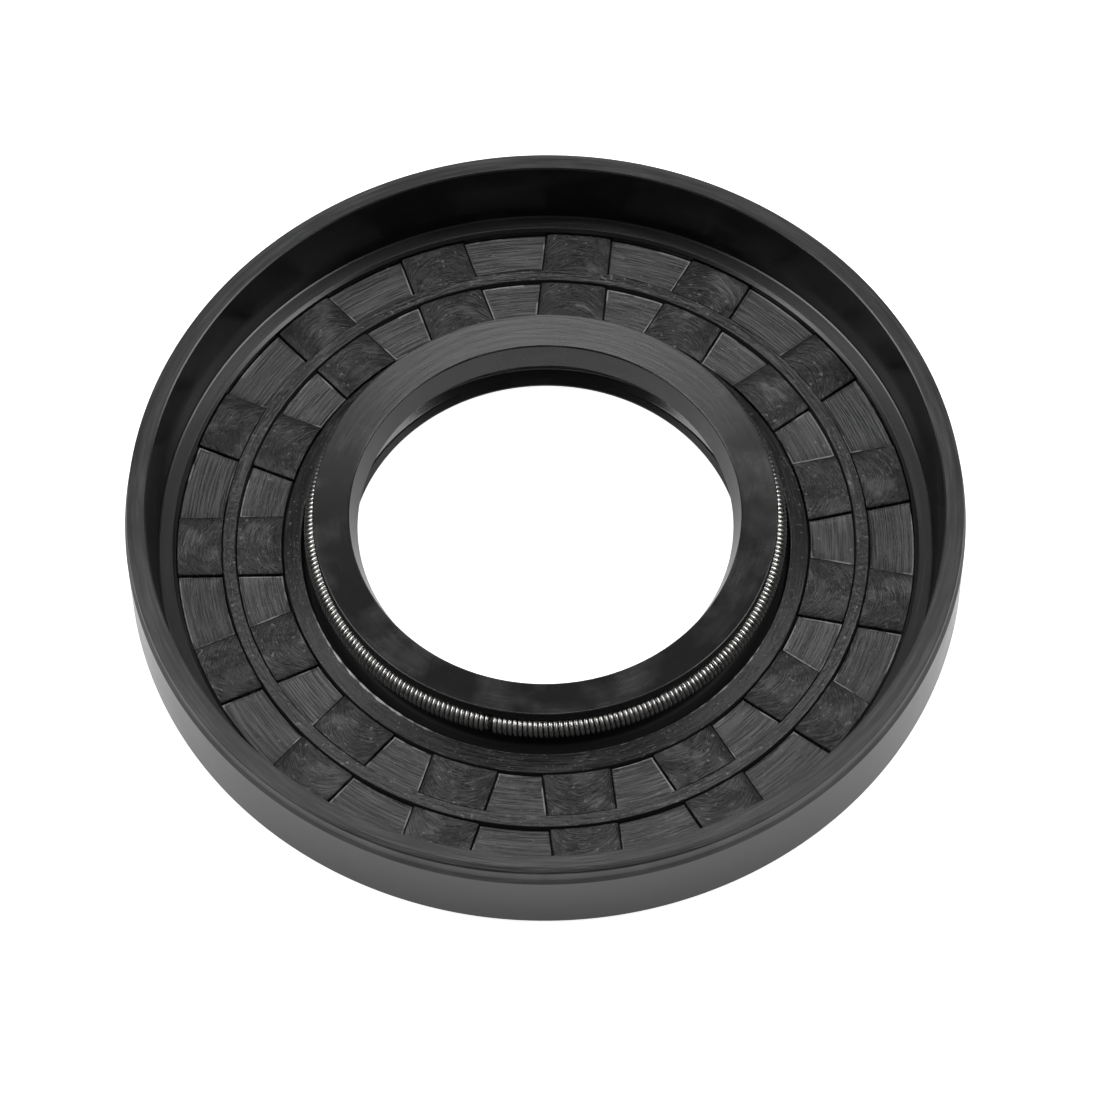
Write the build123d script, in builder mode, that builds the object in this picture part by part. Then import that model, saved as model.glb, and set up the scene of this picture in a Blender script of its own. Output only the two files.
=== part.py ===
from build123d import *
import os
from math import cos, pi, radians, tan

# Radial shaft seal: an L-shaped steel ring moulded into rubber, with a sealing
# lip that a garter spring closes on the shaft, and a dust lip behind it.
#
# The seal's axis is Z. Its flat back, the air side, lies on Z = 0, and the open
# side with the spring, the oil side, faces +Z. All sizes are in millimetres.
# A section is drawn in the XZ plane, where x is the radius and y is the height.

os.makedirs("parts", exist_ok=True)

# ---------------------------------------------------------------- driving sizes
SHAFT_D = 38.0
HOUSING_D = 80.0
WIDTH = 10.0
PADS = 15  # raised pads in each ring of the floor
SPRING_TURNS = 294
SPRING_COIL_D = 2.2
STEEL_THICKNESS = 0.9

# ------------------------------------------------------------------- outer wall
wall_r = HOUSING_D / 2
back_chamfer = 0.8  # height of the lead-in that starts the seal into its housing
back_r = wall_r - 0.5
wall_top = WIDTH - 1.8  # the sealing wall ends here, below a narrower neck
neck_foot_r = wall_r - 0.22
neck_foot = wall_top + 0.75
neck_top_r = wall_r - 0.3
neck_top = WIDTH - 0.1
crown_r = wall_r - 0.87  # the flat top of the rim ends here and slopes off

# -------------------------------------------------------------- rim and floor
rim_inner_r = wall_r - 2.08
rim_foot_r = rim_inner_r - 0.82
rim_foot = 2.8
ledge_inner_r = rim_foot_r - 1.3
ledge_inner_z = rim_foot - 0.1
groove_floor = 1.45  # bottom of the two narrow grooves beside the pads
outer_pads_r = ledge_inner_r - 0.4
outer_flats_z = 1.75
rib_outer_r = 31.16
rib_inner_r = 29.71
rib_top = 2.46
inner_flats_z = 1.8
inner_pads_r = 25.41
collar_outer_r = inner_pads_r - 0.22
collar_outer_z = 2.15
collar_inner_r = 23.55
collar_inner_z = 2.7

# ------------------------------------------------------------------------ pads
pad_top = 2.18
pad_width = 6.4
pad_draft = 8.0  # degrees off the vertical
pad_first_angle = 180.0 / PADS

# --------------------------------------------------------------- sealing lips
lip_r = SHAFT_D / 2 - 1.05  # free radius, before the shaft stretches it
lip_land = 0.4  # height of the narrow land that touches the shaft
lip_z = 5.5
head_inner_r = lip_r + 0.75
head_inner_z = 7.75
head_outer_r = 22.2
head_outer_z = 8.1
groove_mouth_z = 6.95  # the head's outer side ends here and slopes in to the spring's groove
groove_flank_r = 21.5  # radius this slope aims at, level with the spring's centre
dust_lip_r = SHAFT_D / 2 - 0.15
dust_lip_z = 0.2
dust_lip_land = 0.25
lip_root_r = 20.1  # where the two lips meet, facing the shaft
lip_root_z = 1.6
stem_r = 21.7  # outer face of the lip's stem, below the spring
trough_outer_r = collar_inner_r - 0.2
trough_floor = 1.15
back_groove_r = 21.4  # ring groove behind the dust lip
back_groove_top = 0.85
back_inner_r = 22.8

# ---------------------------------------------------------------- garter spring
spring_z = 5.46
coil_r = SPRING_COIL_D / 2
spring_groove_r = 22.02  # radius of the groove's centre line
spring_groove_round = coil_r + 0.02
spring_r = spring_groove_r - (spring_groove_round - coil_r)  # pulled onto the groove's floor
valley_depth = 0.17  # how deep the wire's turns part
coil_sides = 8
half_pitch_angle = 180 / SPRING_TURNS
half_pitch = spring_r * tan(radians(half_pitch_angle))

# ----------------------------------------------------------------- steel ring
steel_outer_r = wall_r - 0.9
steel_inner_r = 24.6
steel_bottom = 0.35
steel_top = WIDTH - 0.8
steel_leg_r = steel_outer_r - STEEL_THICKNESS
flange_top = steel_bottom + STEEL_THICKNESS
bend_cut = 0.8  # the outside of the bend, drawn as one flat

# Corners of the rubber's section: radius from the axis, height.
section = [
    # back face
    (back_inner_r, 0),
    (back_r, 0),
    (wall_r, back_chamfer),
    # outer wall, with the shoulder where it steps in to the neck
    (wall_r, wall_top),
    (neck_foot_r, neck_foot),
    (neck_top_r, neck_top),
    # rim, open side and inner wall
    (crown_r, WIDTH),
    (rim_inner_r, WIDTH),
    (rim_foot_r, rim_foot),
    # ledge round the floor, then the flats with the rib between them
    (ledge_inner_r, ledge_inner_z),
    (ledge_inner_r, groove_floor),
    (outer_pads_r, groove_floor),
    (outer_pads_r, outer_flats_z),
    (rib_outer_r, outer_flats_z),
    (rib_outer_r, rib_top),
    (rib_inner_r, rib_top),
    (rib_inner_r, inner_flats_z),
    (inner_pads_r, inner_flats_z),
    (inner_pads_r, groove_floor),
    (collar_outer_r, groove_floor),
    # collar, and the deep trough that leaves the lip free to move
    (collar_outer_r, collar_outer_z),
    (collar_inner_r, collar_inner_z),
    (trough_outer_r, trough_floor),
    (stem_r, trough_floor),
    # outer side and front of the lip's head
    (stem_r, spring_z),
    (groove_flank_r, spring_z),
    (head_outer_r, groove_mouth_z),
    (head_outer_r, head_outer_z),
    (head_inner_r, head_inner_z),
    # sealing lip and dust lip, facing the shaft
    (lip_r, lip_z),
    (lip_r, lip_z - lip_land),
    (lip_root_r, lip_root_z),
    (dust_lip_r, dust_lip_z + dust_lip_land),
    (dust_lip_r, dust_lip_z),
    (back_groove_r, back_groove_top),
]

with BuildPart() as steel_case:
    with BuildSketch(Plane.XZ):
        with BuildLine():
            Polyline(
                (steel_inner_r, steel_bottom),
                (steel_outer_r - bend_cut, steel_bottom),
                (steel_outer_r, steel_bottom + bend_cut),
                (steel_outer_r, steel_top),
                (steel_leg_r, steel_top),
                (steel_leg_r, flange_top),
                (steel_inner_r, flange_top),
                close=True,
            )
        make_face()
    revolve(axis=Axis.Z)


def drafted_pad(inner_r, outer_r, foot):
    """A raised pad on the +X side. Its sides are parallel and drafted, its ends follow the ring."""
    with BuildPart() as pad:
        with BuildSketch(Plane.YZ):
            with Locations((0, foot)):
                Trapezoid(pad_width, pad_top - foot, 90 - pad_draft, align=(Align.CENTER, Align.MIN))
        extrude(amount=wall_r)
        with BuildSketch(Plane.XY):
            Circle(outer_r)
            Circle(inner_r, mode=Mode.SUBTRACT)
        extrude(amount=WIDTH, mode=Mode.INTERSECT)
    return pad.part


inner_pad = drafted_pad(inner_pads_r, rib_inner_r, inner_flats_z)
outer_pad = drafted_pad(rib_outer_r, outer_pads_r, outer_flats_z)

with BuildPart() as rubber_body:
    with BuildSketch(Plane.XZ):
        with BuildLine():
            Polyline(*section, close=True)
        make_face()
        # groove that the garter spring lies in
        with Locations((spring_groove_r, spring_z)):
            Circle(spring_groove_round, mode=Mode.SUBTRACT)
    revolve(axis=Axis.Z)
    with PolarLocations(0, PADS, start_angle=pad_first_angle):
        add(inner_pad)
        add(outer_pad)
    add(steel_case.part, mode=Mode.SUBTRACT)

# One turn of the close-wound spring is a short faceted bead, widest in its middle,
# that meets the next turns in planes through the seal's axis. Each pair of opposite
# sides is a strip that thins both ways along the spring, and the strips' common
# part is the bead.
with BuildPart() as spring_turn:
    crest = coil_r * cos(pi / coil_sides)
    thinned = crest - 2 * valley_depth
    for side in range(coil_sides // 2):
        side_angle = (side + 0.5) * 360 / coil_sides
        across = Plane(origin=(spring_r, 0, spring_z)).rotated((0, side_angle, 0))
        with BuildSketch(across):
            with BuildLine():
                Polyline(
                    (crest, 0),
                    (thinned, 2 * half_pitch),
                    (-thinned, 2 * half_pitch),
                    (-crest, 0),
                    (-thinned, -2 * half_pitch),
                    (thinned, -2 * half_pitch),
                    close=True,
                )
            make_face()
        extrude(amount=SPRING_COIL_D, both=True, mode=Mode.INTERSECT if side else Mode.ADD)
    split(bisect_by=Plane.XZ.rotated((0, 0, half_pitch_angle)), keep=Keep.TOP)
    split(bisect_by=Plane.XZ.rotated((0, 0, -half_pitch_angle)), keep=Keep.BOTTOM)

with BuildPart() as garter_spring:
    with PolarLocations(0, SPRING_TURNS):
        add(spring_turn.part)

rubber_body.part.label = "rubber_body"
steel_case.part.label = "steel_case"
garter_spring.part.label = "garter_spring"

export_step(rubber_body.part, "parts/rubber_body.step")
export_step(steel_case.part, "parts/steel_case.step")
export_step(garter_spring.part, "parts/garter_spring.step")
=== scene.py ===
from math import cos, degrees, hypot, pi, radians, sin, sqrt, tan

import bmesh
import bpy
from mathutils import Matrix, Vector, noise


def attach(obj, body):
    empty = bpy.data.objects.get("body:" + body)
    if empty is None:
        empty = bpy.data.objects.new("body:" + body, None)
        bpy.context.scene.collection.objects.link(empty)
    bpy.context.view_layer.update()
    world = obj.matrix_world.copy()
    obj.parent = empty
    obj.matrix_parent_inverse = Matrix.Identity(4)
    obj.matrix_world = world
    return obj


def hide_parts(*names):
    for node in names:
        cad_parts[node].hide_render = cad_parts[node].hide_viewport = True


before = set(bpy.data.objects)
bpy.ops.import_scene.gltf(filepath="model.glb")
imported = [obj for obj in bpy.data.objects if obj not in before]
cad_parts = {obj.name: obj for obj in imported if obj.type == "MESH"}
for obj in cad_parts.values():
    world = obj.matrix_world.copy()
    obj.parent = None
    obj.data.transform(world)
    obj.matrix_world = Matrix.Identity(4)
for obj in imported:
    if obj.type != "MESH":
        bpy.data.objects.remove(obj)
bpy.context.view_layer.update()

bl_info = {
    "name": "Radial shaft seal",
    "version": (1, 0, 0),
    "blender": (4, 5, 0),
    "location": "3D View > Sidebar > Seal",
    "description": "Builds a spring-loaded radial shaft seal in rubber and steel, with its stage",
    "category": "Object",
}

# The seal's axis is Z, its back lies on Z = 0 and its open side faces +Z.
# Sections are given in millimetres, as radius and height, and meshes are in metres.
MM = 0.001


# ------------------------------------------------------------------ settings
class MouldingSettings(bpy.types.PropertyGroup):
    """Sizes of the rubber moulding"""

    turned_steps: bpy.props.IntProperty(
        name="Steps round", description="Faces round the seal's axis", default=480, min=90, max=720
    )
    pads: bpy.props.IntProperty(
        name="Pads", description="Raised pads in each ring of the floor", default=15, min=3
    )
    pad_width: bpy.props.FloatProperty(
        name="Pad width", description="Width of a pad at its foot", default=0.0064, unit="LENGTH"
    )
    pad_top: bpy.props.FloatProperty(
        name="Pad height",
        description="Height of the pads' tops over the back",
        default=0.00218,
        unit="LENGTH",
    )
    pad_edge: bpy.props.FloatProperty(
        name="Pad edge", description="Rounding of the pads' long edges", default=0.00006, unit="LENGTH"
    )
    slit: bpy.props.FloatProperty(
        name="Slit", description="Width of the slits beside the pads", default=0.0001, unit="LENGTH"
    )
    burr: bpy.props.FloatProperty(
        name="Burr",
        description="Height of the burr on the edges of the flats",
        default=0.00008,
        unit="LENGTH",
    )


class SpringSettings(bpy.types.PropertyGroup):
    """Sizes of the garter spring"""

    turns: bpy.props.IntProperty(
        name="Turns", description="Turns of wire round the ring", default=294, min=20
    )
    wire_radius: bpy.props.FloatProperty(
        name="Wire radius", description="Radius of the drawn wire", default=0.000192, unit="LENGTH"
    )
    coil_radius: bpy.props.FloatProperty(
        name="Coil radius", description="Outer radius of a turn", default=0.0011, unit="LENGTH"
    )
    ring_radius: bpy.props.FloatProperty(
        name="Ring radius",
        description="Radius of the spring's centre line",
        default=0.022,
        unit="LENGTH",
    )
    height: bpy.props.FloatProperty(
        name="Height",
        description="Height of the spring's centre line over the back",
        default=0.00546,
        unit="LENGTH",
    )
    joint_angle: bpy.props.FloatProperty(
        name="Joint angle",
        description="Where the spring's ends meet",
        default=radians(256.4),
        subtype="ANGLE",
    )


class FinishSettings(bpy.types.PropertyGroup):
    """Colours of the materials, as sRGB hex values"""

    rubber: bpy.props.StringProperty(
        name="Rubber", description="Carbon-black nitrile rubber", default="#0e0e0f"
    )
    # Grey of the tool marks' ridges, scratches and specks: partly real scuffing, partly a painted highlight;
    # in the specks a painted glint.
    scuffs_and_highlights: bpy.props.StringProperty(
        name="Scuffs and highlights", description="Ridges of tool marks", default="#646466"
    )
    wire: bpy.props.StringProperty(
        name="Spring wire", description="Bright drawn spring steel", default="#dcdbd8"
    )
    case: bpy.props.StringProperty(
        name="Case steel", description="Phosphated pressed steel", default="#6d6c69"
    )
    # Pale colour of the flash and the flats' burrs: a painted highlight along their edges.
    torn: bpy.props.StringProperty(
        name="Flash highlight", description="Stretched, pale flash", default="#e4e4e2"
    )
    table: bpy.props.StringProperty(
        name="Table", description="White table under the seal", default="#f2f2f2"
    )


class StageSettings(bpy.types.PropertyGroup):
    """Lamps and camera"""

    top_glow: bpy.props.FloatProperty(
        name="Top lamp", description="Radiance of the lamp overhead", default=4.2
    )
    left_glow: bpy.props.FloatProperty(
        name="Left lamp", description="Radiance of the lamp on the left", default=6.0
    )
    right_glow: bpy.props.FloatProperty(
        name="Right lamp", description="Radiance of the lamp on the right", default=6.0
    )
    back_glow: bpy.props.FloatProperty(
        name="Back wall", description="Radiance of the wall behind", default=1.0
    )
    room: bpy.props.FloatProperty(
        name="Room light", description="Strength of the light all round", default=0.09
    )
    lens: bpy.props.FloatProperty(
        name="Lens", description="Focal length in millimetres", default=180.06
    )
    distance: bpy.props.FloatProperty(
        name="Distance", description="From the camera to the seal", default=0.530, unit="LENGTH"
    )
    elevation: bpy.props.FloatProperty(
        name="Elevation",
        description="Height of the camera's view",
        default=radians(59.6),
        subtype="ANGLE",
    )
    roll: bpy.props.FloatProperty(
        name="Roll",
        description="Turn of the camera about its view",
        default=radians(-0.7214),
        subtype="ANGLE",
    )


# ------------------------------------------------------------- small helpers
def linear(hex_colour):
    """Linear RGBA of an sRGB hex value."""
    parts = [int(hex_colour[i : i + 2], 16) / 255 for i in (1, 3, 5)]
    return (*(c / 12.92 if c <= 0.04045 else ((c + 0.055) / 1.055) ** 2.4 for c in parts), 1.0)


def add_node(tree, kind, *inputs, **settings):
    """Adds a node. inputs are what its sockets take, in order, or one dict of it by name or number.

    A socket takes a plain value, an output, or a node, whose first output then feeds it.
    """
    node = tree.nodes.new(kind)
    for name, value in settings.items():
        setattr(node, name, value)
    given = inputs[0] if inputs and isinstance(inputs[0], dict) else dict(enumerate(inputs))
    for name, value in given.items():
        if isinstance(value, bpy.types.Node):
            value = value.outputs[0]
        if isinstance(value, bpy.types.NodeSocket):
            tree.links.new(value, node.inputs[name])
        else:
            node.inputs[name].default_value = value
    return node


def new_material(name):
    material = bpy.data.materials.new(name)
    material.use_nodes = True
    material.node_tree.nodes.clear()
    return material


def new_object(name, data):
    obj = bpy.data.objects.new(name, data)
    bpy.context.scene.collection.objects.link(obj)
    return obj


def plain_mesh(obj, name):
    """A plain mesh object of what obj's modifiers make, in its place."""
    bpy.context.view_layer.update()
    depsgraph = bpy.context.evaluated_depsgraph_get()
    mesh = bpy.data.meshes.new_from_object(
        obj.evaluated_get(depsgraph), preserve_all_data_layers=True, depsgraph=depsgraph
    )
    bpy.data.objects.remove(obj)
    mesh.name = name
    return new_object(name, mesh)


# ------------------------------------------------------------------ materials
# The noises' scales count cells: 4.5 / MM puts 4.5 of them in a millimetre, each 0.22 mm wide.
MATH = "ShaderNodeMath"
NOISE = "ShaderNodeTexNoise"
RANGE = "ShaderNodeMapRange"  # takes a value, and maps low..high onto 0..1 or two further numbers

STREAK_RADIUS = 28.0  # mm from the axis, where streaks have the length that they are given


def ring_coordinates(tree):
    """Object coordinates, and the ring's: distance from the axis in mm, direction's x and y."""
    here = add_node(tree, "ShaderNodeTexCoord").outputs["Object"]
    x, y, _ = add_node(tree, "ShaderNodeSeparateXYZ", here).outputs
    squares = add_node(tree, MATH, y, y, operation="MULTIPLY")
    squares = add_node(tree, MATH, x, x, squares, operation="MULTIPLY_ADD")
    distance = add_node(tree, MATH, squares, operation="SQRT")
    east = add_node(tree, MATH, x, distance, operation="DIVIDE")
    north = add_node(tree, MATH, y, distance, operation="DIVIDE")
    radius = add_node(tree, MATH, distance, 1 / MM, operation="MULTIPLY")
    return here, (radius, east, north)


def streaks(tree, ring, length, pitch, detail=3.0, seed=0.0):
    """Noise in streaks round the axis. length and pitch are in mm."""
    radius, east, north = ring
    round_axis = STREAK_RADIUS / length
    place = add_node(
        tree,
        "ShaderNodeCombineXYZ",
        add_node(tree, MATH, east, round_axis, operation="MULTIPLY"),
        add_node(tree, MATH, north, round_axis, operation="MULTIPLY"),
        add_node(tree, MATH, radius, 1 / pitch, seed, operation="MULTIPLY_ADD"),
    )
    return add_node(tree, NOISE, {"Vector": place, "Scale": 1.0, "Detail": detail, "Roughness": 0.62})


def scratches(tree, value, width):
    """Thin lines where a noise crosses its middle value."""
    above = add_node(tree, MATH, value, 0.5, operation="SUBTRACT")
    away = add_node(tree, MATH, above, operation="ABSOLUTE")
    return add_node(tree, RANGE, away, 0.0, width, 1.0, 0.0)


def in_patches(tree, value, here, cells, low, high):
    """value, shown in soft patches only.

    They come from a noise with cells in a millimetre: value is hidden where the noise is
    below low, and full where it is above high.
    """
    clouds = add_node(tree, NOISE, {"Vector": here, "Scale": cells / MM, "Detail": 2.0})
    shown = add_node(tree, RANGE, clouds, low, high)
    return add_node(tree, MATH, value, shown, operation="MULTIPLY")


def rubber_shader(tree, colours, mark, roughness, height, depth, ior=1.52):
    """Carbon-black rubber under a soft gloss.

    mark is 0 for the plain colour and 1 for the scuffed one, which is partly a painted highlight, and goes on
    to paler beyond 1, which is a painted highlight.
    height is the relief of the surface, from 0 to about 1, and depth says how many mm 1 is.
    """
    colour = add_node(
        tree,
        "ShaderNodeMix",
        {"Factor": mark, 6: colours[0], 7: colours[1]},
        data_type="RGBA",
        clamp_factor=False,
    )
    bump = add_node(tree, "ShaderNodeBump", {"Strength": 1.0, "Distance": depth * MM, "Height": height})
    shader = add_node(
        tree,
        "ShaderNodeBsdfPrincipled",
        {"Base Color": colour.outputs[2], "Roughness": roughness, "IOR": ior, "Normal": bump},
    )
    add_node(tree, "ShaderNodeOutputMaterial", {"Surface": shader})


def metal_shader(tree, colour, roughness):
    """Bare metal of one colour."""
    shader = add_node(
        tree, "ShaderNodeBsdfPrincipled", {"Base Color": colour, "Metallic": 1.0, "Roughness": roughness}
    )
    add_node(tree, "ShaderNodeOutputMaterial", {"Surface": shader})


def sealing_rubber(colours):
    # Nitrile rubber from a polished mould: the outer wall is glossy, with a faint
    # cloudiness 4 mm wide and a grain of 0.2 mm, coarser than the real one so that it shows.
    material = new_material("Nitrile_Rubber_Polished_Mould")
    tree = material.node_tree
    here = add_node(tree, "ShaderNodeTexCoord").outputs["Object"]
    grain = add_node(tree, NOISE, {"Vector": here, "Scale": 4.5 / MM, "Detail": 2.0})
    clouds = add_node(tree, NOISE, {"Vector": here, "Scale": 0.26 / MM, "Detail": 3.0})
    roughness = add_node(tree, RANGE, clouds, 0.3, 0.7, 0.14, 0.19)
    rubber_shader(tree, colours, 0.0, roughness, grain, depth=0.003)
    return material


def rim_rubber(colours):
    # The same rubber, left as it came from the press: satin, with a grain of 0.3 mm and
    # short turned marks that spread the light.
    material = new_material("Nitrile_Rubber_Satin_Rim")
    tree = material.node_tree
    here, ring = ring_coordinates(tree)
    grain = add_node(tree, NOISE, {"Vector": here, "Scale": 3.5 / MM, "Detail": 3.0})
    lines = streaks(tree, ring, length=5.0, pitch=0.35)
    relief = add_node(tree, MATH, grain, 0.3, lines, operation="MULTIPLY_ADD")
    # The marks' ridges are painted paler: partly scuffing, partly a painted highlight.
    mark = add_node(tree, RANGE, lines, 0.45, 0.8, 0.0, 0.35)
    clouds = add_node(tree, NOISE, {"Vector": here, "Scale": 0.18 / MM, "Detail": 3.0})
    roughness = add_node(tree, RANGE, clouds, 0.3, 0.7, 0.34, 0.44)
    rubber_shader(tree, colours, mark, roughness, relief, depth=0.03)
    return material


def ledge_rubber(colours):
    # Smooth and dark: the inner wall of the rim, the ring between it and the floor, and
    # the narrow bevels on both, which catch the side lamps.
    material = new_material("Nitrile_Rubber_Smooth_Ledge")
    tree = material.node_tree
    _, ring = ring_coordinates(tree)
    lines = streaks(tree, ring, length=9.0, pitch=0.5)
    # Streaks painted a little paler: partly scuffing, partly a painted highlight.
    mark = add_node(tree, RANGE, lines, 0.5, 0.8, 0.0, 0.15)
    rubber_shader(tree, colours, mark, 0.24, lines, depth=0.01)
    return material


def turned_rubber(colours):
    # Rubber from a lathe-turned mould: broken scratches round the axis, 0.2 mm apart, whose ridges are
    # painted scuffed grey, partly as a painted highlight.
    material = new_material("Nitrile_Rubber_Turned_Mould")
    tree = material.node_tree
    here, ring = ring_coordinates(tree)
    lines = streaks(tree, ring, length=2.6, pitch=0.22)
    wide = streaks(tree, ring, length=7.0, pitch=0.7, detail=2.0, seed=9.0)
    grain = add_node(tree, NOISE, {"Vector": here, "Scale": 2.6 / MM, "Detail": 2.0})
    relief = add_node(tree, MATH, grain, 0.5, lines, operation="MULTIPLY_ADD")
    relief = add_node(tree, MATH, wide, 1.2, relief, operation="MULTIPLY_ADD")
    fine = scratches(tree, streaks(tree, ring, length=3.5, pitch=0.3, detail=2.0, seed=21.0), 0.02)
    fine = in_patches(tree, fine, here, 0.33, 0.46, 0.58)
    # Ridges painted scuffed grey, partly a painted highlight; scratches painted pale, partly as glints, and
    # specks painted pale as painted glints.
    mark = add_node(tree, RANGE, relief, 1.4, 1.7, 0.0, 0.45)
    scratch_glints = add_node(tree, MATH, fine, 0.9, operation="MULTIPLY")
    glint_specks = add_node(tree, RANGE, grain, 0.66, 0.72)
    for paler in (scratch_glints, glint_specks):
        mark = add_node(tree, MATH, mark, paler, operation="MAXIMUM")
    relief = add_node(tree, MATH, fine, 0.4, relief, operation="MULTIPLY_ADD")
    rubber_shader(tree, colours, mark, 0.31, relief, depth=0.07)
    return material


def collar_rubber(colours):
    # The collar: fine-turned, dulled by a film of mould release that lowers its gloss, with turned lines
    # painted a little paler, partly a painted highlight, and a few thin scratches and specks painted bright,
    # partly as painted glints.
    material = new_material("Nitrile_Rubber_Fine_Turned_Collar")
    tree = material.node_tree
    here, ring = ring_coordinates(tree)
    lines = streaks(tree, ring, length=5.0, pitch=0.16, seed=3.0)
    grain = add_node(tree, NOISE, {"Vector": here, "Scale": 3.2 / MM, "Detail": 2.0})
    fine = scratches(tree, streaks(tree, ring, length=4.0, pitch=0.3, detail=2.0, seed=21.0), 0.025)
    fine = in_patches(tree, fine, here, 0.24, 0.50, 0.60)
    # Lines, scratches and specks painted paler: partly scuffing, partly painted highlights and glints.
    mark = add_node(tree, RANGE, lines, 0.45, 0.7, 0.0, 0.25)
    glint_specks = add_node(tree, RANGE, grain, 0.66, 0.72)
    for paler in (fine, glint_specks):
        mark = add_node(tree, MATH, mark, paler, operation="MAXIMUM")
    relief = add_node(tree, MATH, grain, 0.4, lines, operation="MULTIPLY_ADD")
    relief = add_node(tree, MATH, fine, 0.6, relief, operation="MULTIPLY_ADD")
    rubber_shader(tree, colours, mark, 0.33, relief, depth=0.05, ior=1.37)
    return material


def flat_rubber(colours):
    # The flats between the pads: rougher turned marks whose ridges are painted paler, partly a painted
    # highlight, and burrs on their edges painted pale as a highlight.
    material = new_material("Nitrile_Rubber_Coarse_Turned")
    tree = material.node_tree
    here, ring = ring_coordinates(tree)
    lines = add_node(tree, RANGE, streaks(tree, ring, length=4.5, pitch=0.17, detail=1.5), 0.34, 0.62)
    wide = streaks(tree, ring, length=6.0, pitch=0.9, detail=2.0, seed=5.0)
    grain = add_node(tree, NOISE, {"Vector": here, "Scale": 2.3 / MM, "Detail": 2.0})
    relief = add_node(tree, MATH, grain, 0.5, lines, operation="MULTIPLY_ADD")
    relief = add_node(tree, MATH, wide, 0.7, relief, operation="MULTIPLY_ADD")
    fine = scratches(tree, streaks(tree, ring, length=4.0, pitch=0.3, detail=2.0, seed=33.0), 0.022)
    fine = in_patches(tree, fine, here, 0.26, 0.42, 0.56)
    clouds = add_node(tree, NOISE, {"Vector": here, "Scale": 0.24 / MM, "Detail": 2.0})
    weak = add_node(tree, RANGE, clouds, 0.44, 0.56)
    weak = add_node(tree, MATH, grain, 0.8, weak, operation="MULTIPLY_ADD")
    # Pale burrs along the flats' edges: a painted highlight.
    ragged = add_node(tree, "ShaderNodeAttribute", attribute_name="ragged").outputs["Fac"]
    torn = add_node(tree, MATH, ragged, weak, operation="MULTIPLY")
    burr = add_node(tree, RANGE, torn, 0.7, 1.4, 0.0, 2.2)
    # Ridges painted paler, partly a painted highlight; scratches painted pale, partly as glints, and specks
    # painted pale as painted glints.
    mark = add_node(tree, RANGE, relief, 0.5, 1.5, 0.0, 0.48)
    scratch_glints = add_node(tree, MATH, fine, 0.8, operation="MULTIPLY")
    glint_specks = add_node(tree, RANGE, grain, 0.66, 0.72)
    for paler in (scratch_glints, glint_specks, burr):
        mark = add_node(tree, MATH, mark, paler, operation="MAXIMUM")
    relief = add_node(tree, MATH, fine, 0.5, relief, operation="MULTIPLY_ADD")
    rubber_shader(tree, colours, mark, 0.38, relief, depth=0.04)
    return material


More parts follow.
